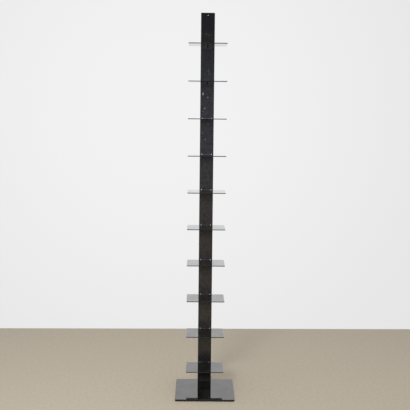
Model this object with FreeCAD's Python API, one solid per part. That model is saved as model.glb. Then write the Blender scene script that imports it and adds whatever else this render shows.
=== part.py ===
import FreeCAD, Part
import math
import os

# Spine bookcase: a folded steel column on a flat base plate, with thin shelves hooked through its front wall.
# Millimetres, +Z up, front towards -Y, origin at the middle of the base plate's underside.

overall_height = 2000.0

# Base plate
base_width = 305.0
base_depth = 305.0
base_thickness = 10.0
base_edge_chamfer = 0.8

# Column: a channel folded from sheet, open at the back, flush with the base's rear edge
column_width = 73.0
column_depth = 22.0
column_wall = 3.0
column_bend_radius = 1.5
column_edge_chamfer = 0.5
column_above_top_shelf = 169.5
wall_hole_diameter = 3.5
wall_hole_drop = 13.5

# Shelves: flat plates with a rear tongue that turns down behind the column's front wall
shelf_count = 10
shelf_width = 198.0
shelf_depth = 163.0
shelf_thickness = 4.0
shelf_edge_chamfer = 0.4
shelf_rear_gap = 0.3
lowest_book_space = 100.0
tongue_width = 48.0
tongue_bend_radius = 1.0
flange_margin = 6.0

# Slots in the column for the tongues, with a small upward relief at either end
slot_side_clearance = 0.25
slot_top_play = 0.1
slot_relief_width = 2.6
slot_relief_rise = 1.8

# Button-head socket screw and nut that hold each shelf's flange to the column
shelf_screw_diameter = 5.0
shelf_screw_drop = 6.0
shelf_screw_head_diameter = 9.5
shelf_screw_head_height = 2.75
shelf_screw_head_facets = 12
shelf_screw_crown_chamfer = 1.5
shelf_screw_socket_width = 3.0
shelf_screw_socket_depth = 1.6
shelf_screw_tip = 1.5
shelf_nut_width = 8.0
shelf_nut_height = 4.0

# Foot block welded into the column's lower end, and the countersunk screws that hold it to the base
foot_height = 20.0
foot_clearance = 0.1
foot_weld_leg = 3.0
foot_weld_crest = 0.8
foot_weld_end_gap = 2.0
base_screw_count = 2
base_screw_spacing = 44.0
base_screw_diameter = 6.0
base_screw_head_diameter = 12.0
base_screw_head_recess = 0.3
base_screw_socket_width = 4.0
base_screw_socket_depth = 2.2
base_screw_engagement = 12.0
base_screw_tip_room = 2.0

# Fits that all the screws share
screw_hole_clearance = 0.3
thread_clearance = 0.05
seat_clearance = 0.02
cut_overrun = 1.0
match_tolerance = 0.0001
hexagon_sides = 6

# Places that follow from the sizes above
column_back = base_depth / 2
column_front = column_back - column_depth
column_inner_front = column_front + column_wall
shelf_rear = column_front - shelf_rear_gap
shelf_front = column_front - shelf_depth
lowest_shelf_under = base_thickness + lowest_book_space
top_shelf_under = overall_height - column_above_top_shelf - shelf_thickness
shelf_step = (top_shelf_under - lowest_shelf_under) / (shelf_count - 1)
flange_rear = column_inner_front + shelf_thickness
flange_drop = shelf_screw_drop + shelf_nut_width / 2 + flange_margin
shelf_screw_length = column_wall + shelf_thickness + shelf_nut_height + shelf_screw_tip
foot_front = column_inner_front + foot_clearance
foot_top = base_thickness + foot_height
base_screw_y = (foot_front + column_back) / 2
base_screw_length = base_thickness - base_screw_head_recess + base_screw_engagement

x_axis = FreeCAD.Vector(1, 0, 0)
y_axis = FreeCAD.Vector(0, 1, 0)
z_axis = FreeCAD.Vector(0, 0, 1)
origin = FreeCAD.Vector(0, 0, 0)


def point(x, y, z):
    return FreeCAD.Vector(x, y, z)


def line(start, end):
    return Part.makeLine(start, end)


def bend(start, end, centre, radius):
    """The round corner between two tangent runs, whose arc has this centre and radius."""
    middle = (start + end) * 0.5 - centre
    middle.normalize()
    return Part.Arc(start, centre + middle * radius, end).toShape()


def prism(edges, reach):
    """Close a flat outline and push it out along the vector reach."""
    return Part.Face(Part.Wire(edges)).extrude(reach)


def turned(edges):
    """Spin a closed half outline in the XZ plane once round the Z axis."""
    return Part.Face(Part.Wire(edges)).revolve(origin, z_axis, 360)


def outline(points):
    """Straight edges through the points, closed back to the first one."""
    return [line(a, b) for a, b in zip(points, points[1:] + points[:1])]


def edges_at_height(solid, height):
    """Edges that lie flat in the level plane at this height."""
    found = []
    for edge in solid.Edges:
        box = edge.BoundBox
        if abs(box.ZMin - height) < match_tolerance and abs(box.ZMax - height) < match_tolerance:
            found.append(edge)
    return found


def upright_edges(solid):
    """Straight edges that run the full height of a prism."""
    return [edge for edge in solid.Edges if edge.BoundBox.ZLength > solid.BoundBox.ZLength - match_tolerance]


def block(width, front, rear, bottom, height):
    """A rectangular block centred on X."""
    return Part.makeBox(width, rear - front, height, point(-width / 2, front, bottom))


def ring(sides, radius, height):
    """Straight edges of a regular polygon round the Z axis at this height."""
    turns = [2 * math.pi * side / sides for side in range(sides)]
    return outline([point(radius * math.cos(turn), radius * math.sin(turn), height) for turn in turns])


def hexagon_bar(width, bottom, height):
    """A six-sided bar round the Z axis, measured across its flats."""
    corner = width / 2 / math.cos(math.pi / hexagon_sides)
    return prism(ring(hexagon_sides, corner, bottom), point(0, 0, height))


def shelf_under(number):
    """Height of a shelf's underside, counted from the lowest shelf as number 1."""
    return lowest_shelf_under + (number - 1) * shelf_step


def shelf_screw_height(number):
    return shelf_under(number) - shelf_screw_drop


def hole_along_y(radius, start, end, x, z):
    """A round cutter that runs front to back."""
    return Part.makeCylinder(radius, end - start, point(x, start, z), y_axis)


def base_screw_places():
    """X positions of the base screws, spread evenly about the column's centre line."""
    middle = (base_screw_count - 1) / 2
    return [(place - middle) * base_screw_spacing for place in range(base_screw_count)]


def column_blank():
    """The folded channel before it is punched: front wall, two bends and two side walls."""
    half = column_width / 2
    inner_half = half - column_wall
    outer_radius = column_bend_radius + column_wall
    bend_y = column_inner_front + column_bend_radius
    bend_x = inner_half - column_bend_radius
    foot = base_thickness
    left_centre = point(-bend_x, bend_y, foot)
    right_centre = point(bend_x, bend_y, foot)
    left_back = point(-half, column_back, foot)
    left_side = point(-half, bend_y, foot)
    left_front = point(-bend_x, column_front, foot)
    right_front = point(bend_x, column_front, foot)
    right_side = point(half, bend_y, foot)
    right_back = point(half, column_back, foot)
    right_back_inner = point(inner_half, column_back, foot)
    right_side_inner = point(inner_half, bend_y, foot)
    right_front_inner = point(bend_x, column_inner_front, foot)
    left_front_inner = point(-bend_x, column_inner_front, foot)
    left_side_inner = point(-inner_half, bend_y, foot)
    left_back_inner = point(-inner_half, column_back, foot)
    profile = [
        line(left_back, left_side),
        bend(left_side, left_front, left_centre, outer_radius),
        line(left_front, right_front),
        bend(right_front, right_side, right_centre, outer_radius),
        line(right_side, right_back),
        line(right_back, right_back_inner),
        line(right_back_inner, right_side_inner),
        bend(right_side_inner, right_front_inner, right_centre, column_bend_radius),
        line(right_front_inner, left_front_inner),
        bend(left_front_inner, left_side_inner, left_centre, column_bend_radius),
        line(left_side_inner, left_back_inner),
        line(left_back_inner, left_back),
    ]
    channel = prism(profile, point(0, 0, overall_height - base_thickness))
    return channel.makeChamfer(column_edge_chamfer, edges_at_height(channel, overall_height))


def slot_cutters(number):
    """The opening for one shelf: its slot, the two end reliefs and the screw hole below."""
    under = shelf_under(number)
    top = under + shelf_thickness + slot_top_play
    half = tongue_width / 2 + slot_side_clearance
    near = column_front - cut_overrun
    far = column_inner_front + cut_overrun
    eased = tongue_bend_radius + seat_clearance
    profile = outline([
        point(-half, near, under),
        point(-half, column_inner_front - eased, under),
        point(-half, column_inner_front, under - eased),
        point(-half, far, under - eased),
        point(-half, far, top),
        point(-half, near, top),
    ])
    relief_height = top - under + slot_relief_rise
    cutters = [prism(profile, point(2 * half, 0, 0))]
    for left in (-half - slot_relief_width, half):
        corner = point(left, near, under)
        cutters.append(Part.makeBox(slot_relief_width, far - near, relief_height, corner))
    screw_radius = shelf_screw_diameter / 2 + screw_hole_clearance
    cutters.append(hole_along_y(screw_radius, near, far, 0, shelf_screw_height(number)))
    return cutters


def make_column():
    cutters = []
    for number in range(1, shelf_count + 1):
        cutters += slot_cutters(number)
    wall_hole_height = overall_height - wall_hole_drop
    near = column_front - cut_overrun
    far = column_inner_front + cut_overrun
    cutters.append(hole_along_y(wall_hole_diameter / 2, near, far, 0, wall_hole_height))
    return column_blank().cut(cutters)


def make_shelf(number):
    """One shelf: the plate, its tongue through the slot and the flange turned down inside the column."""
    under = shelf_under(number)
    top = under + shelf_thickness
    plate = block(shelf_width, shelf_front, shelf_rear, under, shelf_thickness)
    plate = plate.makeChamfer(shelf_edge_chamfer, plate.Edges)
    left = -tongue_width / 2
    root = shelf_rear - shelf_edge_chamfer
    bend_y = column_inner_front - tongue_bend_radius
    bend_z = under - tongue_bend_radius
    foot = under - flange_drop
    centre = point(left, bend_y, bend_z)
    root_top = point(left, root, top)
    bend_top = point(left, bend_y, top)
    flange_top = point(left, flange_rear, bend_z)
    flange_foot = point(left, flange_rear, foot)
    flange_foot_inner = point(left, column_inner_front, foot)
    flange_top_inner = point(left, column_inner_front, bend_z)
    bend_under = point(left, bend_y, under)
    root_under = point(left, root, under)
    profile = [
        line(root_top, bend_top),
        bend(bend_top, flange_top, centre, tongue_bend_radius + shelf_thickness),
        line(flange_top, flange_foot),
        line(flange_foot, flange_foot_inner),
        line(flange_foot_inner, flange_top_inner),
        bend(flange_top_inner, bend_under, centre, tongue_bend_radius),
        line(bend_under, root_under),
        line(root_under, root_top),
    ]
    tongue = prism(profile, point(tongue_width, 0, 0))
    screw_radius = shelf_screw_diameter / 2 + screw_hole_clearance
    screw_hole = hole_along_y(screw_radius, column_inner_front - cut_overrun, flange_rear + cut_overrun,
                              0, shelf_screw_height(number))
    return plate.fuse(tongue).removeSplitter().cut(screw_hole)


def facing_back(solid, y, z):
    """Turn a piece made along +Z to point towards +Y, and set its origin at this place."""
    solid.rotate(origin, x_axis, -90)
    solid.translate(point(0, y, z))
    return solid


def make_shelf_screw(number):
    """Button head with flat facets on the column's front wall, shank back through wall, flange and nut."""
    crown = -shelf_screw_head_height
    rim = ring(shelf_screw_head_facets, shelf_screw_head_diameter / 2, crown)
    head = prism(rim, point(0, 0, shelf_screw_head_height))
    head = head.makeChamfer(shelf_screw_crown_chamfer, edges_at_height(head, crown))
    shank = Part.makeCylinder(shelf_screw_diameter / 2, shelf_screw_length)
    socket_end = shelf_screw_socket_depth + cut_overrun
    socket = hexagon_bar(shelf_screw_socket_width, crown - cut_overrun, socket_end)
    return facing_back(head.fuse(shank).cut(socket), column_front, shelf_screw_height(number))


def make_shelf_nut(number):
    bore_radius = shelf_screw_diameter / 2 + thread_clearance
    bore = Part.makeCylinder(bore_radius, shelf_nut_height + 2 * cut_overrun, point(0, 0, -cut_overrun))
    nut = hexagon_bar(shelf_nut_width, 0, shelf_nut_height).cut(bore)
    return facing_back(nut, flange_rear, shelf_screw_height(number))


def make_base_plate():
    """The base, with a countersunk hole from below for each base screw."""
    plate = block(base_width, -base_depth / 2, base_depth / 2, 0, base_thickness)
    plate = plate.makeChamfer(base_edge_chamfer, plate.Edges)
    hole_radius = base_screw_diameter / 2 + screw_hole_clearance
    mouth_radius = base_screw_head_diameter / 2 + seat_clearance
    cone_height = mouth_radius - hole_radius
    for x in base_screw_places():
        below = point(x, base_screw_y, -cut_overrun)
        seat = point(x, base_screw_y, base_screw_head_recess)
        mouth = Part.makeCylinder(mouth_radius, base_screw_head_recess + cut_overrun, below)
        cone = Part.makeCone(mouth_radius, hole_radius, cone_height, seat)
        hole = Part.makeCylinder(hole_radius, base_thickness + 2 * cut_overrun, below)
        plate = plate.cut([mouth, cone, hole])
    return plate


def make_column_foot():
    """A block that fills the channel's lower end, with tapped holes from below."""
    width = column_width - 2 * column_wall - 2 * foot_clearance
    foot = block(width, foot_front, column_back, base_thickness, foot_height)
    front_corners = [edge for edge in upright_edges(foot) if edge.BoundBox.YMax < base_screw_y]
    foot = foot.makeFillet(column_bend_radius, front_corners)
    hole_radius = base_screw_diameter / 2 + thread_clearance
    hole_depth = base_screw_engagement + base_screw_tip_room
    for x in base_screw_places():
        start = point(x, base_screw_y, base_thickness - cut_overrun)
        foot = foot.cut(Part.makeCylinder(hole_radius, hole_depth + cut_overrun, start))
    return foot


def make_foot_weld():
    """The fillet weld along the foot's upper edges, against the channel's front and side walls."""
    inner_width = column_width - 2 * column_wall
    rear = column_back - foot_weld_end_gap
    bead = block(inner_width, column_inner_front, rear, foot_top, foot_weld_leg)
    front_corners = [edge for edge in upright_edges(bead) if edge.BoundBox.YMax < base_screw_y]
    bead = bead.makeFillet(column_bend_radius, front_corners)
    levels = [(foot_weld_leg, foot_top), (foot_weld_crest, foot_top + foot_weld_leg)]
    rims = []
    for thickness, height in levels:
        half = inner_width / 2 - thickness
        front = column_inner_front + thickness
        corners = [(-half, front), (half, front), (half, column_back), (-half, column_back)]
        rims.append(Part.Wire(outline([point(x, y, height) for x, y in corners])))
    return bead.cut(Part.makeLoft(rims, True, True))


def make_base_screw(x):
    """Countersunk head set just above the base's underside, shank up into the foot."""
    radius = base_screw_diameter / 2
    head_radius = base_screw_head_diameter / 2
    profile = outline([
        point(0, 0, 0),
        point(head_radius, 0, 0),
        point(radius, 0, head_radius - radius),
        point(radius, 0, base_screw_length),
        point(0, 0, base_screw_length),
    ])
    socket = hexagon_bar(base_screw_socket_width, -cut_overrun, base_screw_socket_depth + cut_overrun)
    screw = turned(profile).cut(socket)
    screw.translate(point(x, base_screw_y, base_screw_head_recess))
    return screw


def save(name, shape):
    shape.exportStep(f"parts/{name}.step")
    print(f"{name}: {len(shape.Solids)} solid(s), {shape.Volume:.0f} mm3, valid {shape.isValid()}")


def main():
    os.makedirs("parts", exist_ok=True)
    save("base_plate", make_base_plate())
    save("column", make_column())
    save("column_foot", make_column_foot())
    save("foot_weld", make_foot_weld())
    save("base_screws", Part.makeCompound([make_base_screw(x) for x in base_screw_places()]))
    for number in range(1, shelf_count + 1):
        save(f"shelf_{number:02d}", make_shelf(number))
        save(f"shelf_screw_{number:02d}", make_shelf_screw(number))
        save(f"shelf_nut_{number:02d}", make_shelf_nut(number))


main()
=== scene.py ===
# %% [markdown]
# # A spine bookcase in black enamel
#
# The real piece is a tall channel folded from 3 mm steel sheet. Ten thin steel plates hook through slots in
# its front wall, and a heavy square plate holds it upright. Everything is sprayed with black enamel.
# Folded sheet and flat plate are exactly what a CAD model does well, so those solids come in ready-made as
# the frame. Blender adds what CAD leaves plain: the enamel, the small hardware, the weld and the light.

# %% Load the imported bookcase
import math

import bmesh
import bpy
from mathutils import Matrix, Vector


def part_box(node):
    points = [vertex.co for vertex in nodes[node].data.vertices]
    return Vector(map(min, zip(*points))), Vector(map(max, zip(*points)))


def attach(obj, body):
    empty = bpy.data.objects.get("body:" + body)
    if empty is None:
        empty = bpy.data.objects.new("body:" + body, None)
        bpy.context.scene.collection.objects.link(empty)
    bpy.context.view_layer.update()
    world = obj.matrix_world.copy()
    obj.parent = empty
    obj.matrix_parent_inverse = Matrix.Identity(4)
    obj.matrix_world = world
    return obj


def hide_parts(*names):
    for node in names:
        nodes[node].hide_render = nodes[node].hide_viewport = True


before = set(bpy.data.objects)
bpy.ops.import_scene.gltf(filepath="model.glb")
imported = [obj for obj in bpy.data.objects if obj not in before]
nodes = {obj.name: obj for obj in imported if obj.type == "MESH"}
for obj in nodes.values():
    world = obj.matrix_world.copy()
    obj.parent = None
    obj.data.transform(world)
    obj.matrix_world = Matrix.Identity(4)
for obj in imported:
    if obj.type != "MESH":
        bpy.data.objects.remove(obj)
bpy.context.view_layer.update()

# %% [markdown]
# ## Camera
#
# A camera is best set before any finish is judged, because gloss paint looks different from every angle.
# It could be moved by eye until the picture fits, but here a pinhole camera was solved from the corners of
# the plates: where it stands, how far it turns, dips and leans, and its lens. Three axes built from those
# angles make the camera's matrix directly, which avoids guessing an Euler order.

# %% Camera at the photograph's viewing angle
camera_place = Vector((-0.0503, -3.8944, 1.4671))
camera_turn = 0.01094
camera_dip = 0.10671
camera_lean = -0.01044
lens_mm = 66.12
sensor_mm = 36
frame_shift = -0.0228

ahead = Vector((math.sin(camera_turn) * math.cos(camera_dip),
                math.cos(camera_turn) * math.cos(camera_dip),
                -math.sin(camera_dip)))
level = Vector((math.cos(camera_turn), -math.sin(camera_turn), 0))
below = ahead.cross(level)
right_axis = level * math.cos(camera_lean) + below * math.sin(camera_lean)
up_axis = level * math.sin(camera_lean) - below * math.cos(camera_lean)

bpy.ops.object.camera_add()
camera = bpy.context.object
camera.name = "camera"
turned_to = Matrix((right_axis, up_axis, -ahead)).transposed().to_4x4()
camera.matrix_world = Matrix.Translation(camera_place) @ turned_to
camera.data.lens = lens_mm
camera.data.sensor_width = sensor_mm
camera.data.shift_y = frame_shift
bpy.context.scene.camera = camera
bpy.context.scene.view_settings.view_transform = "Standard"
print("camera", [round(x, 3) for x in camera.matrix_world.translation], "lens", lens_mm)

# %% [markdown]
# ## Building shader nodes
#
# Every finish below is a small network of nodes. Placing each node by hand in the editor is fine once, but
# in a script the same three steps repeat: make a node, set it up, wire it. A few short helpers keep the
# material cells readable, so that each line says what one node is for.

# %% Helpers for node networks
def place_node(tree, kind, **settings):
    """A new node in the tree, with its properties set by name."""
    made = tree.nodes.new(kind)
    for name, value in settings.items():
        setattr(made, name, value)
    return made


def wire(tree, source, target):
    """Join an output socket to an input socket, or put a plain value on the input."""
    if isinstance(source, bpy.types.NodeSocket):
        tree.links.new(source, target)
    else:
        target.default_value = source


def sums(tree, operation, first, second=0.0, clamp=False):
    """A Math node on two sockets or values, as its output socket."""
    made = place_node(tree, "ShaderNodeMath", operation=operation, use_clamp=clamp)
    wire(tree, first, made.inputs[0])
    wire(tree, second, made.inputs[1])
    return made.outputs[0]


def ease(tree, value, low, high, start=0.0, end=1.0):
    """A smooth step: start at low, end at high, and an easy curve between."""
    made = place_node(tree, "ShaderNodeMapRange", interpolation_type="SMOOTHSTEP")
    labels = ("Value", "From Min", "From Max", "To Min", "To Max")
    for label, given in zip(labels, (value, low, high, start, end)):
        wire(tree, given, made.inputs[label])
    return made.outputs["Result"]


def blend_colour(tree, share, first, second):
    """A colour that goes from first to second as share goes from 0 to 1."""
    made = place_node(tree, "ShaderNodeMix", data_type="RGBA")
    colours = [socket for socket in made.inputs if socket.type == "RGBA"]
    wire(tree, share, made.inputs[0])
    wire(tree, first, colours[0])
    wire(tree, second, colours[1])
    return [socket for socket in made.outputs if socket.type == "RGBA"][0]


def noise(tree, place, scale, detail=2.0, roughness=0.5):
    """Soft three-dimensional noise at this many cells to the metre."""
    made = place_node(tree, "ShaderNodeTexNoise")
    labels = ("Vector", "Scale", "Detail", "Roughness")
    for label, given in zip(labels, (place, scale, detail, roughness)):
        wire(tree, given, made.inputs[label])
    return made.outputs["Fac"]


def stretched(tree, place, scale, turn=0.0):
    """The same coordinates, turned about the upright axis and squeezed along each axis."""
    made = place_node(tree, "ShaderNodeMapping")
    wire(tree, place, made.inputs["Vector"])
    made.inputs["Scale"].default_value = scale
    made.inputs["Rotation"].default_value = (0, 0, turn)
    return made.outputs["Vector"]


def split(tree, vector):
    """The X, Y and Z outputs of a vector."""
    made = place_node(tree, "ShaderNodeSeparateXYZ")
    wire(tree, vector, made.inputs[0])
    return made.outputs


def grey(level):
    """A grey of this level, as the four numbers of a colour socket."""
    return (level, level, level, 1)


print("node helpers ready")

# %% [markdown]
# ## The studio
#
# Gloss black shows its surroundings more than itself, so the room is half of the finish. Behind the bookcase
# stands a pale backdrop, which the plates mirror at a shallow angle. It could be a white sheet with lamps on
# it, but those lamps would also light the object. So it glows at a set strength instead, a little less
# towards its corners and, for the mirrors, near the floor. Its far side is clear, so that the bookcase can
# also be seen from behind. The floor is a plain warm grey.

# %% Floor
floor_size = 14.0
floor_colour = (0.420, 0.370, 0.294)
grit_scale = 60.0
grit_shades = (0.93, 1.06)


def stage_sheet(name, width, length):
    """A flat sheet of the studio, which is no part of the bookcase."""
    bpy.ops.object.select_all(action="DESELECT")
    bpy.ops.mesh.primitive_plane_add(size=1)
    sheet = bpy.context.object
    sheet.name = name
    sheet.scale = (width, length, 1)
    bpy.ops.object.transform_apply(location=False, rotation=False, scale=True)
    return sheet


def new_paint(name):
    """A material with nodes: its tree, its Principled shader and its Object coordinates."""
    paint = bpy.data.materials.new(name)
    paint.use_nodes = True
    tree = paint.node_tree
    place = place_node(tree, "ShaderNodeTexCoord").outputs["Object"]
    return paint, tree, tree.nodes["Principled BSDF"], place


floor = stage_sheet("floor", floor_size, floor_size)
floor_paint, tree, shader, place = new_paint("pale_floor")
grit = ease(tree, noise(tree, place, grit_scale, detail=6.0, roughness=0.7), 0.3, 0.7)
grit_colours = [tuple(shade * channel for channel in floor_colour) + (1,) for shade in grit_shades]
wire(tree, blend_colour(tree, grit, *grit_colours), shader.inputs["Base Color"])
shader.inputs["Roughness"].default_value = 0.8
shader.inputs["Specular IOR Level"].default_value = 0.2
floor.data.materials.append(floor_paint)
print("floor", floor_size, "m square")

# %% Backdrop
backdrop_width = 8.0
backdrop_height = 4.0
backdrop_distance = 1.1765
backdrop_turn = 0.0174
backdrop_glow = 0.87
glow_middle = (-0.3, -0.5, 0)
glow_reach = (0.2, 2.6)
glow_shares = (1.02, 0.90)
mirror_heights = (0.35, 0.95)
mirror_glows = (0.79, 0.93)

backdrop = stage_sheet("backdrop", backdrop_width, backdrop_height)
backdrop.rotation_euler = (math.pi / 2, 0, backdrop_turn)
backdrop.location = (0, backdrop_distance, backdrop_height / 2)
backdrop_paint, tree, shader, place = new_paint("backdrop_glow")
tree.nodes.remove(shader)
rays = place_node(tree, "ShaderNodeLightPath")
glow = place_node(tree, "ShaderNodeEmission")
above_floor = sums(tree, "ADD", split(tree, place)["Y"], backdrop_height / 2)
mirrored = ease(tree, above_floor, *mirror_heights, *mirror_glows)
from_middle = place_node(tree, "ShaderNodeVectorMath", operation="DISTANCE")
wire(tree, place, from_middle.inputs[0])
wire(tree, glow_middle, from_middle.inputs[1])
shown_glows = [share * backdrop_glow for share in glow_shares]
shown = ease(tree, from_middle.outputs["Value"], *glow_reach, *shown_glows)
seen = blend_colour(tree, rays.outputs["Is Camera Ray"], mirrored, shown)
wire(tree, seen, glow.inputs["Strength"])
side = place_node(tree, "ShaderNodeNewGeometry")
mixed = place_node(tree, "ShaderNodeMixShader")
wire(tree, side.outputs["Backfacing"], mixed.inputs[0])
wire(tree, glow.outputs[0], mixed.inputs[1])
wire(tree, place_node(tree, "ShaderNodeBsdfTransparent").outputs[0], mixed.inputs[2])
wire(tree, mixed.outputs[0], tree.nodes["Material Output"].inputs["Surface"])
backdrop.data.materials.append(backdrop_paint)
print("backdrop", backdrop_distance, "m behind")

# %% [markdown]
# ## Light
#
# The satin column mirrors the whole room in front of it, so a world of one even colour would make it look
# flat. The world is painted by direction instead: pale behind, dim straight ahead, warmer towards the floor,
# cooler a little above the horizon and dark to the sides. In the ranges below, Y is -1 straight out in front
# of the shelves and Z is 1 straight up.

# %% World
back_light = 0.95
side_light = 0.10
front_light = (0.21, 0.22, 0.27, 1)
high_front_light = (0.22, 0.24, 0.33, 1)
low_front_light = (0.46, 0.415, 0.365, 1)
ceiling_light = 0.55

world = bpy.data.worlds.new("studio")
bpy.context.scene.world = world
world.use_nodes = True
tree = world.node_tree
towards = split(tree, place_node(tree, "ShaderNodeTexCoord").outputs["Generated"])
behind = ease(tree, towards["Y"], 0.0, 0.3)
in_front = ease(tree, towards["Y"], -0.80, -0.97)
below_eaves = ease(tree, towards["Z"], 0.34, 0.18)
overhead = ease(tree, towards["Z"], 0.3, 0.8)
facing_wall = blend_colour(tree, ease(tree, towards["Z"], 0.05, -0.08), front_light, low_front_light)
facing_wall = blend_colour(tree, ease(tree, towards["Z"], 0.11, 0.17), facing_wall, high_front_light)
room = blend_colour(tree, sums(tree, "MULTIPLY", in_front, below_eaves), grey(side_light), facing_wall)
room = blend_colour(tree, overhead, room, grey(ceiling_light))
room = blend_colour(tree, behind, room, grey(back_light))
rays = place_node(tree, "ShaderNodeLightPath")
room = blend_colour(tree, rays.outputs["Is Camera Ray"], room, grey(backdrop_glow))
wire(tree, room, tree.nodes["Background"].inputs["Color"])
print("world painted by direction")

# %% [markdown]
# Two soft lamps do the rest. A wide one overhead lights the plates from above. A smaller key lamp stands in
# front, a little to the left and about as high as the top shelf, so that each lower shelf throws a longer
# shadow on the column below it. A sun lamp would make all those shadows the same length. Both are kept out of
# mirrors, where the key lamp would show as a bright square and the wide one as a white line on every edge.

# %% Lamps
def soft_lamp(name, place, target, size, power, spread):
    """A square lamp of this size and spread that faces the target and shows in no mirror."""
    bpy.ops.object.light_add(type="AREA", location=place)
    lamp = bpy.context.object
    lamp.name = name
    lamp.rotation_euler = (Vector(target) - Vector(place)).to_track_quat("-Z", "Y").to_euler()
    lamp.data.size = size
    lamp.data.energy = power
    lamp.data.spread = math.radians(spread)
    lamp.visible_camera = False
    lamp.visible_glossy = False
    return lamp


top_lamp = soft_lamp("top_lamp", place=(-0.5, -0.7, 3.8), target=(0, 0, 0.3), size=4.0, power=70,
                     spread=180)
key_lamp = soft_lamp("key_lamp", place=(-1.1, -3.05, 1.85), target=(0, 0.1, 0.9), size=0.9, power=25,
                     spread=100)
print("lamps:", top_lamp.name, key_lamp.name)

# %% [markdown]
# ## Black enamel
#
# Sprayed enamel is a dark coat with a clear, smooth skin. Up close the skin is not flat: it has a faint
# ripple where the spray levelled out. Use adds the rest. Dust settles on faces that look up, books draw
# hairlines as they slide, and the coat wears thin along sharp edges. Each of these could be painted as an
# image, but node patterns on the object's own coordinates need no unwrapping and stay sharp at any distance.
# They are built once as groups, so that each finish can use them with its own amounts.

# %% A way to start a group
number = "NodeSocketFloat"
vector = "NodeSocketVector"


def start_group(name, inputs, outputs):
    """An empty shader group with these named sockets."""
    group = bpy.data.node_groups.new(name, "ShaderNodeTree")
    for label, kind in inputs:
        group.interface.new_socket(name=label, in_out="INPUT", socket_type=kind)
    for label in outputs:
        group.interface.new_socket(name=label, in_out="OUTPUT", socket_type=number)
    return group, group.nodes.new("NodeGroupInput").outputs, group.nodes.new("NodeGroupOutput").inputs


print("groups can be started")

# %% Spray ripple and colour drift
spray_ripple, given, result = start_group(
    "spray_ripple", [("Place", vector), ("Scale", number), ("Drift Scale", number)], ["Height", "Drift"])
wire(spray_ripple, noise(spray_ripple, given["Place"], given["Scale"], detail=1.5), result["Height"])
drift = noise(spray_ripple, given["Place"], given["Drift Scale"], detail=3.0, roughness=0.6)
wire(spray_ripple, ease(spray_ripple, drift, 0.32, 0.68), result["Drift"])
print("group", spray_ripple.name)

# %% Settled dust
settled_dust, given, result = start_group(
    "settled_dust", [("Place", vector), ("Facing Up", number), ("Amount", number)], ["Mask"])
patches = noise(settled_dust, given["Place"], scale=24.0, detail=5.0, roughness=0.6)
specks = noise(settled_dust, given["Place"], scale=900.0, detail=1.0)
lying = sums(settled_dust, "ADD", ease(settled_dust, patches, 0.35, 0.75),
             ease(settled_dust, specks, 0.70, 0.80))
lying = sums(settled_dust, "MULTIPLY", lying, ease(settled_dust, given["Facing Up"], 0.5, 0.95))
wire(settled_dust, sums(settled_dust, "MULTIPLY", lying, given["Amount"], clamp=True), result["Mask"])
print("group", settled_dust.name)

# %% Hairlines from books and cloths
hairlines, given, result = start_group("hairlines", [("Place", vector), ("Amount", number)], ["Mask"])
found = 0.0
for turn, squeeze in ((0.2, (500.0, 9.0, 9.0)), (-0.9, (430.0, 7.0, 7.0)), (1.4, (560.0, 8.0, 8.0))):
    drawn_out = stretched(hairlines, given["Place"], squeeze, turn)
    streaks = noise(hairlines, drawn_out, scale=1.0, detail=2.0, roughness=0.6)
    found = sums(hairlines, "MAXIMUM", found, ease(hairlines, streaks, 0.67, 0.74))
wire(hairlines, sums(hairlines, "MULTIPLY", found, given["Amount"], clamp=True), result["Mask"])
print("group", hairlines.name)

# %% [markdown]
# The column has three marks of its own, and some painted light. Stacked books rub its front to a faint haze,
# and shoes scuff the foot. The haze is a little stronger low in each bay, painted light thrown up from the
# glossy shelf below, and it fades out towards the floor, a painted shade. Its tint is warm low down and cool
# higher up, a painted reflection of the floor and the room. Under the highest shelf the haze grows, and two
# wide pale strips lie under the two highest shelves: painted light against their shadows. A line of dust
# gathers in the corner over each shelf and round the foot, less of it higher up, with a painted highlight of
# the corner on it. Knocks leave pale rubs here and there. Haze and dust repeat from shelf to shelf. Ten
# separate masks could do that, but one repeating height is simpler: the height over the first shelf, divided
# by the step, without its whole number.

# %% Height within a bay
def height_in_bay(tree, upright, first_shelf, step):
    """How far up its bay a height lies: 0 on one shelf and almost 1 under the next."""
    steps_up = sums(tree, "DIVIDE", sums(tree, "SUBTRACT", upright, first_shelf), step)
    return sums(tree, "FRACT", steps_up)


print("bay heights ready")

# %% Haze where books rub, with painted light and shade
foot_heights = (0.12, 0.09)
foot_scuff = 1.1
bare_top_share = 0.14

book_haze_and_light, given, result = start_group(
    "book_haze_and_light", [("Place", vector), ("Facing Front", number), ("Lowest", number), ("Highest", number),
                  ("First Shelf", number), ("Step", number), ("Amount", number)], ["Mask"])
upright = split(book_haze_and_light, given["Place"])["Z"]
# The haze fades out over the lowest 0.4 m: painted shade, darker towards the floor.
floor_shade_fade = ease(book_haze_and_light, sums(book_haze_and_light, "SUBTRACT", upright, given["Lowest"]), 0.0, 0.40)
by_shoes = ease(book_haze_and_light, upright, *foot_heights, 0.0, foot_scuff)
under_top = sums(book_haze_and_light, "SUBTRACT", given["Highest"], upright)
over_shelf = ease(book_haze_and_light, under_top, -0.09, -0.04, 0.0, bare_top_share)
under_shelf = ease(book_haze_and_light, under_top, -0.005, 0.005, 0.0, 1.0 - bare_top_share)
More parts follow.
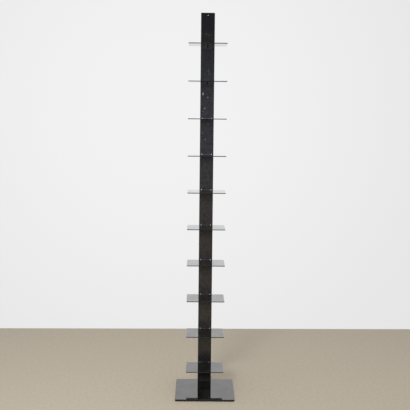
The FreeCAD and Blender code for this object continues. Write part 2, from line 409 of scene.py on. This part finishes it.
# Right under the highest shelf the haze share climbs from 0.60 to 0.95: painted light against that shelf's
# shadow.
haze_and_light_under_top = ease(book_haze_and_light, under_top, 0.04, 0.0, 0.60, 0.95)
by_books = ease(book_haze_and_light, under_top, 0.04, 0.30, 0.0, 0.40)
from_above = sums(book_haze_and_light, "MULTIPLY", sums(book_haze_and_light, "ADD", over_shelf, under_shelf),
                  sums(book_haze_and_light, "ADD", haze_and_light_under_top, by_books))
patches = noise(book_haze_and_light, given["Place"], scale=62.0, detail=4.0, roughness=0.6)
by_patch = ease(book_haze_and_light, patches, 0.25, 0.75, 0.55, 1.45)
up_the_bay = height_in_bay(book_haze_and_light, upright, given["First Shelf"], given["Step"])
# Low in each bay the haze is up to 12 percent stronger: painted light thrown up from the glossy shelf below.
shelf_bounce_light = ease(book_haze_and_light, up_the_bay, 0.0, 0.40, 1.12, 1.0)
in_front = ease(book_haze_and_light, given["Facing Front"], 0.3, 0.9)
hazed_and_lit = sums(book_haze_and_light, "MULTIPLY", sums(book_haze_and_light, "MAXIMUM", floor_shade_fade, by_shoes), from_above)
for share in (by_patch, shelf_bounce_light, in_front):
    hazed_and_lit = sums(book_haze_and_light, "MULTIPLY", hazed_and_lit, share)
wire(book_haze_and_light, sums(book_haze_and_light, "MULTIPLY", hazed_and_lit, given["Amount"], clamp=True), result["Mask"])
print("group", book_haze_and_light.name)

# %% Dust and a painted highlight in the corners
corner_line_fades = (0.4, 1.4)
high_corner_line = 0.35

corner_dust_and_glint, given, result = start_group(
    "corner_dust_and_glint", [("Place", vector), ("Facing Front", number), ("First Shelf", number), ("Step", number),
                    ("Foot", number), ("Reach", number), ("Amount", number)], ["Mask"])
upright = split(corner_dust_and_glint, given["Place"])["Z"]
up_the_bay = height_in_bay(corner_dust_and_glint, upright, given["First Shelf"], given["Step"])
over_shelf = sums(corner_dust_and_glint, "MULTIPLY", up_the_bay, given["Step"])
over_foot = sums(corner_dust_and_glint, "SUBTRACT", upright, given["Foot"])
crumbs = noise(corner_dust_and_glint, given["Place"], scale=350.0, detail=3.0, roughness=0.6)
reach = sums(corner_dust_and_glint, "MULTIPLY", given["Reach"], ease(corner_dust_and_glint, crumbs, 0.25, 0.75, 0.4, 1.6))
# A pale line just over each shelf and just over the foot: dust, together with a painted highlight of the
# paint in the corner.
on_shelf = sums(corner_dust_and_glint, "MULTIPLY", sums(corner_dust_and_glint, "LESS_THAN", over_shelf, reach),
                ease(corner_dust_and_glint, given["Facing Front"], 0.6, 0.95))
corner_line = sums(corner_dust_and_glint, "MAXIMUM", on_shelf, sums(corner_dust_and_glint, "LESS_THAN", over_foot, reach))
corner_line = sums(corner_dust_and_glint, "MULTIPLY", corner_line, ease(corner_dust_and_glint, upright, *corner_line_fades, 1.0, high_corner_line))
wire(corner_dust_and_glint, sums(corner_dust_and_glint, "MULTIPLY", corner_line, given["Amount"], clamp=True), result["Mask"])
print("group", corner_dust_and_glint.name)

# %% One rub on the column's front
rub_mark, given, result = start_group(
    "rub_mark", [("Place", vector), ("Facing Front", number), ("Across", number), ("Height", number),
                 ("Width", number), ("Length", number), ("Strength", number)], ["Mask"])
axes = split(rub_mark, given["Place"])
sideways = sums(rub_mark, "DIVIDE", sums(rub_mark, "SUBTRACT", axes["X"], given["Across"]), given["Width"])
upwards = sums(rub_mark, "DIVIDE", sums(rub_mark, "SUBTRACT", axes["Z"], given["Height"]), given["Length"])
away = sums(rub_mark, "SQRT", sums(rub_mark, "ADD", sums(rub_mark, "MULTIPLY", sideways, sideways),
                                   sums(rub_mark, "MULTIPLY", upwards, upwards)))
fray = 2.2
ragged = noise(rub_mark, given["Place"], scale=420.0, detail=4.0, roughness=0.7)
ragged = sums(rub_mark, "SUBTRACT", sums(rub_mark, "MULTIPLY", ragged, fray), fray / 2)
edge = sums(rub_mark, "ADD", away, ragged)
pale = sums(rub_mark, "MULTIPLY", ease(rub_mark, edge, 1.1, 0.5), given["Strength"])
pale = sums(rub_mark, "MULTIPLY", pale, ease(rub_mark, given["Facing Front"], 0.6, 0.95))
wire(rub_mark, pale, result["Mask"])
print("group", rub_mark.name)

# %% Worn edges
worn_edges, given, result = start_group(
    "worn_edges", [("Place", vector), ("Reach", number), ("Amount", number)], ["Mask"])
rounded = place_node(worn_edges, "ShaderNodeBevel", samples=4)
wire(worn_edges, given["Reach"], rounded.inputs["Radius"])
agree = place_node(worn_edges, "ShaderNodeVectorMath", operation="DOT_PRODUCT")
wire(worn_edges, rounded.outputs[0], agree.inputs[0])
wire(worn_edges, place_node(worn_edges, "ShaderNodeNewGeometry").outputs["Normal"], agree.inputs[1])
turned_away = ease(worn_edges, agree.outputs["Value"], 0.98, 0.80)
patches = noise(worn_edges, given["Place"], scale=130.0, detail=4.0, roughness=0.7)
worn = sums(worn_edges, "MULTIPLY", turned_away, ease(worn_edges, patches, 0.42, 0.70))
wire(worn_edges, sums(worn_edges, "MULTIPLY", worn, given["Amount"], clamp=True), result["Mask"])
print("group", worn_edges.name)

# %% [markdown]
# The enamel material puts the groups to work. The coat of the Principled shader is the clear skin, and its
# base is the pigment below. Together they mirror more and more as the view gets shallower, which is why the
# low plates look dark and the ones near eye level look almost white. The shelves keep their gloss, except
# under the lowest, where no cloth reaches, and the base has lost a little to brooms and feet. The column has
# been dulled by handling to a satin, so it spreads the same room into one soft tone. Dust and rubs dull the
# skin further, so they lower the coat as well as lighten the colour.

# %% Where the shelves are
shelf_count = 10
shelf_numbers = [f"{count:02d}" for count in range(1, shelf_count + 1)]
first_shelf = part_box("shelf_01")[1].z
shelf_step = (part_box("shelf_10")[1].z - first_shelf) / (shelf_count - 1)
foot_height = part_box("base_plate")[1].z
print("first shelf at", round(first_shelf, 4), "m, step", round(shelf_step, 4), "m")

# %% Helpers for materials
def use_group(tree, group, **values):
    """Place a group in a material and set its inputs, named with underscores for spaces."""
    made = place_node(tree, "ShaderNodeGroup", node_tree=group)
    for name, value in values.items():
        wire(tree, value, made.inputs[name.replace("_", " ")])
    return made.outputs


def ripple_normal(tree, shader, height, strength, distance):
    """Let a height pattern tilt the shader's normal a little."""
    ripple = place_node(tree, "ShaderNodeBump")
    ripple.inputs["Strength"].default_value = strength
    ripple.inputs["Distance"].default_value = distance
    wire(tree, height, ripple.inputs["Height"])
    wire(tree, ripple.outputs[0], shader.inputs["Normal"])


def coat_by_facing(tree, upwards, coats):
    """The coat of faces that look up, sideways and down, with easy changes between."""
    coat_above, coat_beside, coat_below = coats
    above = ease(tree, upwards, 0.3, 0.9, 0.0, coat_above - coat_beside)
    below = ease(tree, upwards, -0.3, -0.9, 0.0, coat_below - coat_beside)
    return sums(tree, "ADD", sums(tree, "ADD", above, below), coat_beside)


def finish_nodes(paint, names):
    """Give CAD nodes a material in place of the plain one they came with."""
    for name in names:
        nodes[name].data.materials.clear()
        nodes[name].data.materials.append(paint)


print("material helpers ready")

# %% Marks and painted light on the column
haze_amount = 0.225
haze_lowest = -0.05
haze_highest = 1.84
# The haze is warm low on the column and cool higher up: a painted reflection of the warm floor and the cooler
# room.
floor_tinted_haze = (0.122, 0.107, 0.099, 1)
room_tinted_haze = (0.106, 0.113, 0.140, 1)
reflection_tint_heights = (0.75, 1.40)
corner_line_amount = 0.4
corner_line_reach = 0.0009
# Each rub: across, height, half width, half length, strength
column_rubs_and_strips = (
    (-0.0225, 1.5775, 0.0040, 0.0080, 0.80),
    (0.0026, 1.5594, 0.0035, 0.0045, 0.45),
    (-0.0138, 1.5012, 0.0060, 0.0045, 0.26),
    (-0.0205, 1.4853, 0.0040, 0.0040, 0.20),
    (-0.0083, 1.3386, 0.0040, 0.0040, 0.25),
    (0.0053, 1.6982, 0.0030, 0.0090, 0.08),
    (0.0082, 1.6826, 0.0030, 0.0080, 0.08),
    (0.0057, 1.4195, 0.0040, 0.0040, 0.22),
    (-0.0231, 1.3715, 0.0050, 0.0060, 0.10),
    (-0.0073, 1.8902, 0.0050, 0.0040, 0.07),
    (0.0086, 1.8853, 0.0090, 0.0035, 0.04),
    # The last two rows are wide pale strips right under the two highest shelves: painted light against their
    # shadows.
    (0.0000, 1.8270, 0.0340, 0.0150, 0.05),
    (0.0000, 1.6365, 0.0340, 0.0120, 0.06),
)


def column_marks(tree, place, backwards, colour, lying):
    """Colour with haze and painted light, dust with a corner highlight, and a mask of rubs and lit strips."""
    front = sums(tree, "MULTIPLY", backwards, -1.0)
    hazed_and_lit = use_group(tree, book_haze_and_light, Place=place, Facing_Front=front, Lowest=haze_lowest,
                      Highest=haze_highest, First_Shelf=first_shelf, Step=shelf_step,
                      Amount=haze_amount)["Mask"]
    # Painted reflection: the haze turns from the floor's warm tint to the room's cool tint with height.
    room_tint_share = ease(tree, split(tree, place)["Z"], *reflection_tint_heights)
    colour = blend_colour(tree, hazed_and_lit, colour, blend_colour(tree, room_tint_share, floor_tinted_haze, room_tinted_haze))
    corner_line = use_group(tree, corner_dust_and_glint, Place=place, Facing_Front=front, First_Shelf=first_shelf,
                         Step=shelf_step, Foot=foot_height, Reach=corner_line_reach, Amount=corner_line_amount)["Mask"]
    # The corner line, dust and painted highlight, joins the dust mask.
    lying = sums(tree, "MAXIMUM", lying, corner_line)
    rubs_and_lit_strips = 0.0
    for across, height, width, length, strength in column_rubs_and_strips:
        mark = use_group(tree, rub_mark, Place=place, Facing_Front=front, Across=across, Height=height,
                         Width=width, Length=length, Strength=strength)["Mask"]
        rubs_and_lit_strips = sums(tree, "MAXIMUM", rubs_and_lit_strips, mark)
    return colour, lying, rubs_and_lit_strips


print("rubs on the column:", len(column_rubs_and_strips))

# %% The enamel
hairline_grey = (0.045, 0.045, 0.046, 1)
edge_grey = (0.060, 0.058, 0.056, 1)
rub_and_light_grey = (0.50, 0.51, 0.54, 1)
# Dust colour; on the column it also paints the highlight in the corners.
dust_and_glint_grey = (0.30, 0.29, 0.27, 1)
ripple_scale = 300.0
hairline_amount = 0.35
hairline_dulling = 0.3
edge_reach = 0.0006
edge_wear = 0.4
dull_roughness = 0.60
dull_coat = 0.3
thin_coat = 0.80
clear_ior = 1.5


def black_enamel(name, deep, thin, dust, gloss, coats, coat_roughness, drift_scale, marked=False):
    """Enamel from a deep to a thin pigment, with coats for faces that look up, sideways and down."""
    paint, tree, shader, place = new_paint(name)
    facing = split(tree, place_node(tree, "ShaderNodeNewGeometry").outputs["Normal"])
    skin = use_group(tree, spray_ripple, Place=place, Scale=ripple_scale, Drift_Scale=drift_scale)
    lying = use_group(tree, settled_dust, Place=place, Facing_Up=facing["Z"], Amount=dust)["Mask"]
    drawn = use_group(tree, hairlines, Place=place, Amount=hairline_amount)["Mask"]
    thinned = use_group(tree, worn_edges, Place=place, Reach=edge_reach, Amount=edge_wear)["Mask"]
    rubs_and_lit_strips = 0.0
    colour = blend_colour(tree, skin["Drift"], deep, thin)
    if marked:
        colour, lying, rubs_and_lit_strips = column_marks(tree, place, facing["Y"], colour, lying)
    colour = blend_colour(tree, drawn, colour, hairline_grey)
    colour = blend_colour(tree, thinned, colour, edge_grey)
    # On the column this mask also holds the two painted light strips.
    colour = blend_colour(tree, rubs_and_lit_strips, colour, rub_and_light_grey)
    # On the column the dust mask also holds the painted highlight in the corners.
    colour = blend_colour(tree, lying, colour, dust_and_glint_grey)
    wire(tree, colour, shader.inputs["Base Color"])
    dulled = sums(tree, "ADD", sums(tree, "ADD", lying, rubs_and_lit_strips),
                  sums(tree, "MULTIPLY", drawn, hairline_dulling), clamp=True)
    wire(tree, ease(tree, dulled, 0, 1, gloss, dull_roughness), shader.inputs["Roughness"])
    coat = coat_by_facing(tree, facing["Z"], coats)
    coat = sums(tree, "MULTIPLY", coat, ease(tree, skin["Drift"], 0, 1, 1.0, thin_coat))
    coat = sums(tree, "MULTIPLY", coat, ease(tree, dulled, 0, 1, 1.0, dull_coat))
    wire(tree, coat, shader.inputs["Coat Weight"])
    shader.inputs["IOR"].default_value = clear_ior
    shader.inputs["Coat IOR"].default_value = clear_ior
    shader.inputs["Coat Roughness"].default_value = coat_roughness
    ripple_normal(tree, shader, skin["Height"], strength=0.06, distance=0.0004)
    return paint


print("enamel ready to mix")

# %% Enamel on the shelves, the base and the column
warm_black = (0.0060, 0.0059, 0.0058, 1)
thin_warm_black = (0.0100, 0.0098, 0.0095, 1)
cool_black = (0.0030, 0.0030, 0.0031, 1)
thin_cool_black = (0.0060, 0.0060, 0.0062, 1)
smooth = {"gloss": 0.05, "coat_roughness": 0.02, "drift_scale": 14.0}

plate_enamel = black_enamel("plate_enamel", warm_black, thin_warm_black, dust=0.05,
                            coats=(1.0, 0.05, 0.80), **smooth)
lowest_enamel = black_enamel("lowest_enamel", warm_black, thin_warm_black, dust=0.05,
                             coats=(1.0, 0.05, 0.0), **smooth)
base_enamel = black_enamel("base_enamel", warm_black, thin_warm_black, dust=0.04,
                           coats=(0.80, 0.05, 0.30), **smooth)
column_enamel = black_enamel("column_enamel", cool_black, thin_cool_black, dust=0.05, gloss=0.26,
                             coats=(0.1, 0.1, 0.1), coat_roughness=0.18, drift_scale=70.0, marked=True)
finish_nodes(plate_enamel, ["shelf_" + label for label in shelf_numbers[1:]])
finish_nodes(lowest_enamel, ["shelf_01"])
finish_nodes(base_enamel, ["base_plate", "column_foot"])
finish_nodes(column_enamel, ["column"])
print("enamel on the base, its foot, the column and", len(shelf_numbers), "shelves")

# %% [markdown]
# ## Blackened steel and zinc
#
# The shelf screws are blackened: a thin dark oxide on bare steel, with a metal sheen and pale corners where a
# key has rubbed, under a film of oil. The nuts and the base screws are zinc plated, a dull grey metal whose
# crystals make soft patches. Both are metals, so their colour is the colour of their reflection, and patches
# in the roughness do more than patches in the colour.

# %% Screw and nut finishes
metal_ripple_scale = 2500.0
metal_edge_reach = 0.00025
metal_edge_wear = 0.7
oil_roughness = 0.08


def plated_steel(name, dark, light, bare, smooth, rough, patch_scale, oil=0.0):
    """A metal skin that drifts between two colours and two roughnesses, worn to bare metal at its edges."""
    paint, tree, shader, place = new_paint(name)
    skin = use_group(tree, spray_ripple, Place=place, Scale=metal_ripple_scale, Drift_Scale=patch_scale)
    worn = use_group(tree, worn_edges, Place=place, Reach=metal_edge_reach, Amount=metal_edge_wear)["Mask"]
    colour = blend_colour(tree, skin["Drift"], dark, light)
    wire(tree, blend_colour(tree, worn, colour, bare), shader.inputs["Base Color"])
    wire(tree, ease(tree, skin["Drift"], 0, 1, smooth, rough), shader.inputs["Roughness"])
    shader.inputs["Metallic"].default_value = 1.0
    shader.inputs["Coat Weight"].default_value = oil
    shader.inputs["Coat Roughness"].default_value = oil_roughness
    ripple_normal(tree, shader, skin["Height"], strength=0.15, distance=0.00005)
    return paint


black_oxide = plated_steel("black_oxide", dark=(0.040, 0.040, 0.042, 1), light=(0.075, 0.074, 0.075, 1),
                           bare=(0.30, 0.30, 0.31, 1), smooth=0.26, rough=0.40, patch_scale=700.0, oil=0.8)
dull_zinc = plated_steel("dull_zinc", dark=(0.44, 0.44, 0.43, 1), light=(0.62, 0.62, 0.60, 1),
                         bare=(0.70, 0.70, 0.69, 1), smooth=0.34, rough=0.52, patch_scale=500.0)
finish_nodes(dull_zinc, ["base_screws"])
print("metal finishes:", black_oxide.name, dull_zinc.name)

# %% [markdown]
# ## Modelling small hardware
#
# Every small piece starts as a primitive and is shaped in edit mode, the way it would be done by hand. Three
# moves come back each time: draw out a flat end, cut or join with a second shape, and clean and soften the
# finished mesh. Helpers for those three keep each piece short. Sizes are millimetres on the drawing, so one
# factor turns them into Blender's metres.

# %% Helpers for modelling
mm = 0.001
weld_distance = 0.001 * mm
sharp_angle = math.radians(50)
smooth_angle = math.radians(35)


def pick_object(piece):
    """Make one object the only selected and active one."""
    bpy.ops.object.select_all(action="DESELECT")
    piece.select_set(True)
    bpy.context.view_layer.objects.active = piece


def start_cylinder(name, sides, radius, bottom, top, turn=0.0):
    """A new upright cylinder between two heights, with its place in its mesh."""
    bpy.ops.object.select_all(action="DESELECT")
    bpy.ops.mesh.primitive_cylinder_add(vertices=sides, radius=radius, depth=top - bottom,
                                        location=(0, 0, (bottom + top) / 2), rotation=(0, 0, turn))
    bpy.context.object.name = name
    bpy.ops.object.transform_apply()
    return bpy.context.object


def pick_level_faces(piece, height):
    """In edit mode, select only the faces whose corners all lie at this height."""
    bpy.ops.mesh.select_mode(type="FACE")
    bpy.ops.mesh.select_all(action="DESELECT")
    shape = bmesh.from_edit_mesh(piece.data)
    for face in shape.faces:
        if all(abs(corner.co.z - height) < weld_distance for corner in face.verts):
            face.select_set(True)
    bmesh.update_edit_mesh(piece.data)


def taper_end(piece, height, reach, share):
    """Draw out the flat end at this height by reach, and size the new end by share."""
    pick_object(piece)
    bpy.ops.object.mode_set(mode="EDIT")
    pick_level_faces(piece, height)
    bpy.ops.mesh.extrude_region_move(TRANSFORM_OT_translate={"value": (0, 0, reach)})
    bpy.ops.transform.resize(value=(share, share, 1))
    bpy.ops.object.mode_set(mode="OBJECT")


def combine(piece, operation, tool):
    """Join, cut or trim a piece with a second shape, which is used up."""
    pick_object(piece)
    step = piece.modifiers.new("combine", "BOOLEAN")
    step.operation = operation
    step.solver = "EXACT"
    step.object = tool
    bpy.ops.object.modifier_apply(modifier=step.name)
    bpy.data.objects.remove(tool)


def clean_mesh(piece):
    """Merge doubled points and turn all faces outwards."""
    pick_object(piece)
    bpy.ops.object.mode_set(mode="EDIT")
    bpy.ops.mesh.select_all(action="SELECT")
    bpy.ops.mesh.remove_doubles(threshold=weld_distance)
    bpy.ops.mesh.normals_make_consistent(inside=False)
    bpy.ops.object.mode_set(mode="OBJECT")


def soften(piece, width):
    """Round off the sharp edges a little and smooth the shading between them."""
    pick_object(piece)
    step = piece.modifiers.new("soften", "BEVEL")
    step.width = width
    step.segments = 2
    step.limit_method = "ANGLE"
    step.angle_limit = sharp_angle
    bpy.ops.object.modifier_apply(modifier=step.name)
    bpy.ops.object.shade_smooth_by_angle(angle=smooth_angle)


print("modelling helpers ready")

# %% [markdown]
# ## Shelf screw
#
# Each shelf is held by a button-head screw with a hexagon socket, size M5. Its head is a slice of a ball on a
# thin rim. It could be spun from a half outline, but bisecting a sphere gives the same slice in one step. The
# socket is a six-sided cutter with a drilled point below it. The screw is made upright and head down, with
# the underside of its head at height zero.

# %% Screw head
head_radius = 4.75 * mm
head_height = 2.75 * mm
rim_height = 0.45 * mm
dome_height = head_height - rim_height
ball_radius = (head_radius ** 2 + dome_height ** 2) / (2 * dome_height)
socket_width = 3.0 * mm
socket_radius = socket_width / 2 / math.cos(math.pi / 6)
socket_depth = 1.6 * mm
drill_point = 0.5 * mm
drill_share = 0.15
round_sides = 40
head_rings = 44

bpy.ops.object.select_all(action="DESELECT")
bpy.ops.mesh.primitive_uv_sphere_add(segments=round_sides, ring_count=head_rings, radius=ball_radius,
                                     location=(0, 0, ball_radius - head_height))
screw = bpy.context.object
screw.name = "shelf_screw"
bpy.ops.object.transform_apply()
bpy.ops.object.mode_set(mode="EDIT")
bpy.ops.mesh.select_all(action="SELECT")
bpy.ops.mesh.bisect(plane_co=(0, 0, -rim_height), plane_no=(0, 0, 1), use_fill=True, clear_outer=True,
                    threshold=weld_distance)
bpy.ops.object.mode_set(mode="OBJECT")
taper_end(screw, -rim_height, rim_height, 1.0)
clean_mesh(screw)

socket = start_cylinder("socket", 6, socket_radius, -head_height - mm, socket_depth - head_height)
taper_end(socket, socket_depth - head_height, drill_point, drill_share)
combine(screw, "DIFFERENCE", socket)
print("screw head:", len(screw.data.polygons), "faces")

# %% [markdown]
# The thread is one notch of its profile swept along a helix. The Screw modifier does this: the notch is one
# pitch long, so every turn starts where the last one ended and the turns weld into one skin. The skin is cut
# level at both ends, and a blank with a tapered end trims the tip as a screw maker would.

# %% Thread
thread_radius = 2.5 * mm
thread_pitch = 0.8 * mm
thread_depth = 0.45 * mm
thread_turns = 19
shank_length = 12.5 * mm
shank_start = -0.3 * mm
tip_length = 0.6 * mm
tip_share = 0.84
turn_steps = 28
notch_height = -2 * thread_pitch
notch_middle = thread_radius - thread_pitch / 2

bpy.ops.object.select_all(action="DESELECT")
bpy.ops.mesh.primitive_plane_add(size=thread_pitch, location=(notch_middle, 0, notch_height),
                                 rotation=(math.pi / 2, 0, 0))
shank = bpy.context.object
shank.name = "shank"
bpy.ops.object.transform_apply()
bpy.ops.object.mode_set(mode="EDIT")
bpy.ops.mesh.select_mode(type="VERT")
bpy.ops.mesh.select_all(action="DESELECT")
shape = bmesh.from_edit_mesh(shank.data)
for corner in shape.verts:
    corner.select_set(corner.co.x < notch_middle)
bmesh.update_edit_mesh(shank.data)
bpy.ops.mesh.delete(type="VERT")
bpy.ops.mesh.select_all(action="SELECT")
bpy.ops.mesh.subdivide(number_cuts=2)
shape = bmesh.from_edit_mesh(shank.data)
for corner in shape.verts:
    corner.select_set(abs(corner.co.z - notch_height) < thread_pitch / 4)
bmesh.update_edit_mesh(shank.data)
bpy.ops.transform.translate(value=(-thread_depth, 0, 0))
bpy.ops.object.mode_set(mode="OBJECT")

sweep = shank.modifiers.new("sweep", "SCREW")
sweep.axis = "Z"
sweep.angle = 2 * math.pi
sweep.screw_offset = thread_pitch
sweep.iterations = thread_turns
sweep.steps = turn_steps
sweep.render_steps = turn_steps
sweep.use_merge_vertices = True
sweep.merge_threshold = weld_distance
bpy.ops.object.modifier_apply(modifier=sweep.name)
print("thread:", len(shank.data.polygons), "faces in", thread_turns, "turns")

# %% Cut the thread to length and join it to the head
blank_radius = thread_radius + mm
past_end = 0.1 * mm
screw_edge = 0.08 * mm

clean_mesh(shank)
for height, side in ((shank_start, -1), (shank_length, 1)):
    pick_object(shank)
    bpy.ops.object.mode_set(mode="EDIT")
    bpy.ops.mesh.select_all(action="SELECT")
    bpy.ops.mesh.bisect(plane_co=(0, 0, height), plane_no=(0, 0, side), use_fill=True, clear_outer=True,
                        threshold=0.01 * weld_distance)
    bpy.ops.object.mode_set(mode="OBJECT")
clean_mesh(shank)
blank = start_cylinder("blank", round_sides, blank_radius, shank_start - mm, shank_length - tip_length)
taper_end(blank, shank_length - tip_length, tip_length + past_end, tip_share * thread_radius / blank_radius)
combine(shank, "INTERSECT", blank)
combine(screw, "UNION", shank)
clean_mesh(screw)
soften(screw, screw_edge)
print("screw:", len(screw.data.polygons), "faces, length", round(screw.dimensions.z / mm, 2), "mm")

# %% [markdown]
# ## Copies up the column
#
# The screws are alike, so one is modelled and the others are copies. Each copy has its own mesh and stands
# for its own CAD solid. A screw stops wherever it grips, so every copy is turned a little differently before
# it is laid on its side. The heights are read from the CAD shelves, so nothing has to be measured twice.

# %% Place the screws
golden_turn = math.radians(137.5)


def copy_along(piece, name, y, z, turn):
    """A copy of an upright piece with its own mesh, turned on its axis, pointing back at this place."""
    made = piece.copy()
    made.data = piece.data.copy()
    made.name = name
    made.data.name = name
    bpy.context.scene.collection.objects.link(made)
    made.matrix_world = (Matrix.Translation((0, y, z)) @ Matrix.Rotation(-math.pi / 2, 4, "X")
                         @ Matrix.Rotation(turn, 4, "Z"))
    pick_object(made)
    bpy.ops.object.transform_apply()
    return made


def dress(piece, paint, node):
    """Give a new piece its finish, and let it stand for a CAD node."""
    piece.data.materials.clear()
    piece.data.materials.append(paint)
    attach(piece, "root")
    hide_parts(node)


for count, label in enumerate(shelf_numbers):
    low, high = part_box("shelf_screw_" + label)
    placed = copy_along(screw, "button_screw_" + label, low.y + head_height, (low.z + high.z) / 2,
                        count * golden_turn)
    dress(placed, black_oxide, "shelf_screw_" + label)
bpy.data.objects.remove(screw)
print("screws placed:", len(shelf_numbers))

# %% [markdown]
# ## Nut
#
# A nut is cut from hexagon bar, and both ends are turned to a cone that takes the corners off. So it is made
# here in the same order: a six-sided bar, trimmed by a round blank with coned ends, then bored with a small
# countersink at both mouths. The curved lines where cone meets flat then come out by themselves.

# %% Model the nut
nut_height = 4.0 * mm
nut_width = 8.0 * mm
nut_corner = nut_width / 2 / math.cos(math.pi / 6)
nut_edge = 0.06 * mm
cone_sides = 48
cone_radius = 4.7 * mm
cone_height = 0.5 * mm
cone_share = 3.75 * mm / cone_radius
bore_radius = 2.55 * mm
mouth_height = 0.35 * mm
mouth_share = 2.95 * mm / bore_radius

nut = start_cylinder("nut", 6, nut_corner, 0, nut_height, math.pi / 6)
blank = start_cylinder("blank", cone_sides, cone_radius, cone_height, nut_height - cone_height)
taper_end(blank, nut_height - cone_height, cone_height, cone_share)
taper_end(blank, cone_height, -cone_height, cone_share)
combine(nut, "INTERSECT", blank)
bore = start_cylinder("bore", round_sides, bore_radius, mouth_height, nut_height - mouth_height)
taper_end(bore, nut_height - mouth_height, mouth_height, mouth_share)
taper_end(bore, nut_height, past_end, 1.0)
taper_end(bore, mouth_height, -mouth_height, mouth_share)
taper_end(bore, 0, -past_end, 1.0)
combine(nut, "DIFFERENCE", bore)
clean_mesh(nut)
soften(nut, nut_edge)
print("nut:", len(nut.data.polygons), "faces, across corners", round(max(nut.dimensions) / mm, 2), "mm")

# %% Place the nuts
for label in shelf_numbers:
    low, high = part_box("shelf_nut_" + label)
    placed = copy_along(nut, "hexagon_nut_" + label, low.y, (low.z + high.z) / 2, 0.0)
    dress(placed, dull_zinc, "shelf_nut_" + label)
bpy.data.objects.remove(nut)
print("nuts placed:", len(shelf_numbers))

# %% [markdown]
# ## Foot weld
#
# Inside the column's lower end a steel block is welded to the three walls. A weld bead is a row of small
# puddles that froze one after another, so it is modelled as one: a flattened ball is set every 1.4 mm along
# the corner, leaning against the wall. A swept tube would be quicker, but it would lack the ripples. The
# Remesh modifier melts the row into one skin, and flat cuts trim it to the walls and to the block. It is
# painted over with the column.

# %% Lay the puddles
weld_low, weld_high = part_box("foot_weld")
bead_leg = weld_high.z - weld_low.z
puddle_step = 1.4 * mm
puddle_radius = 0.95 * bead_leg
puddle_flat = 0.55
puddle_lift = 0.22
puddle_lean = 0.5
run_inset = 0.5


def puddle(place, towards):
    """One frozen puddle in the corner at this place, flattened along the line into the corner."""
    bpy.ops.mesh.primitive_uv_sphere_add(segments=16, ring_count=10, radius=puddle_radius, location=place,
                                         scale=(1, 1, puddle_flat))
    made = bpy.context.object
    made.rotation_euler = Vector(towards).to_track_quat("Z", "Y").to_euler()
    return made


left_back = Vector((weld_low.x, weld_high.y, weld_low.z))
left_front = Vector((weld_low.x, weld_low.y, weld_low.z))
right_front = Vector((weld_high.x, weld_low.y, weld_low.z))
right_back = Vector((weld_high.x, weld_high.y, weld_low.z))
runs = (
    (left_back, left_front, Vector((1, 0, 1))),
    (left_front, right_front, Vector((0, 1, 1))),
    (right_front, right_back, Vector((-1, 0, 1))),
)
bpy.ops.object.select_all(action="DESELECT")
puddles = []
for start, end, outwards in runs:
    length = (end - start).length - bead_leg
    steps = round(length / puddle_step)
    along = (end - start).normalized()
    begin = start + along * bead_leg * run_inset
    for step in range(steps + 1):
        spot = begin + along * (length * step / steps) + outwards * bead_leg * puddle_lift
        puddles.append(puddle(spot, outwards - along * puddle_lean))
print("puddles:", len(puddles))

# %% Melt the puddles into one bead
melt_size = 0.28 * mm
bead_smooth_angle = math.radians(40)

bpy.ops.object.select_all(action="DESELECT")
for made in puddles:
    made.select_set(True)
bpy.context.view_layer.objects.active = puddles[0]
bpy.ops.object.transform_apply()
bpy.ops.object.join()
bead = bpy.context.object
bead.name = "weld_bead"
bead.data.name = "weld_bead"
melt = bead.modifiers.new("melt", "REMESH")
melt.mode = "VOXEL"
melt.voxel_size = melt_size
bpy.ops.object.modifier_apply(modifier=melt.name)
calm = bead.modifiers.new("calm", "SMOOTH")
calm.factor = 0.5
calm.iterations = 2
bpy.ops.object.modifier_apply(modifier=calm.name)
cuts = ((weld_low, (-1, 0, 0)), (weld_high, (1, 0, 0)), (weld_low, (0, -1, 0)), (weld_high, (0, 1, 0)),
        (weld_low, (0, 0, -1)))
for place, outwards in cuts:
    bpy.ops.object.mode_set(mode="EDIT")
    bpy.ops.mesh.select_all(action="SELECT")
    bpy.ops.mesh.bisect(plane_co=place, plane_no=outwards, use_fill=True, clear_outer=True,
                        threshold=0.01 * weld_distance)
    bpy.ops.object.mode_set(mode="OBJECT")
clean_mesh(bead)
bpy.ops.object.shade_smooth_by_angle(angle=bead_smooth_angle)
dress(bead, column_enamel, "foot_weld")
print("weld bead:", len(bead.data.polygons), "faces")
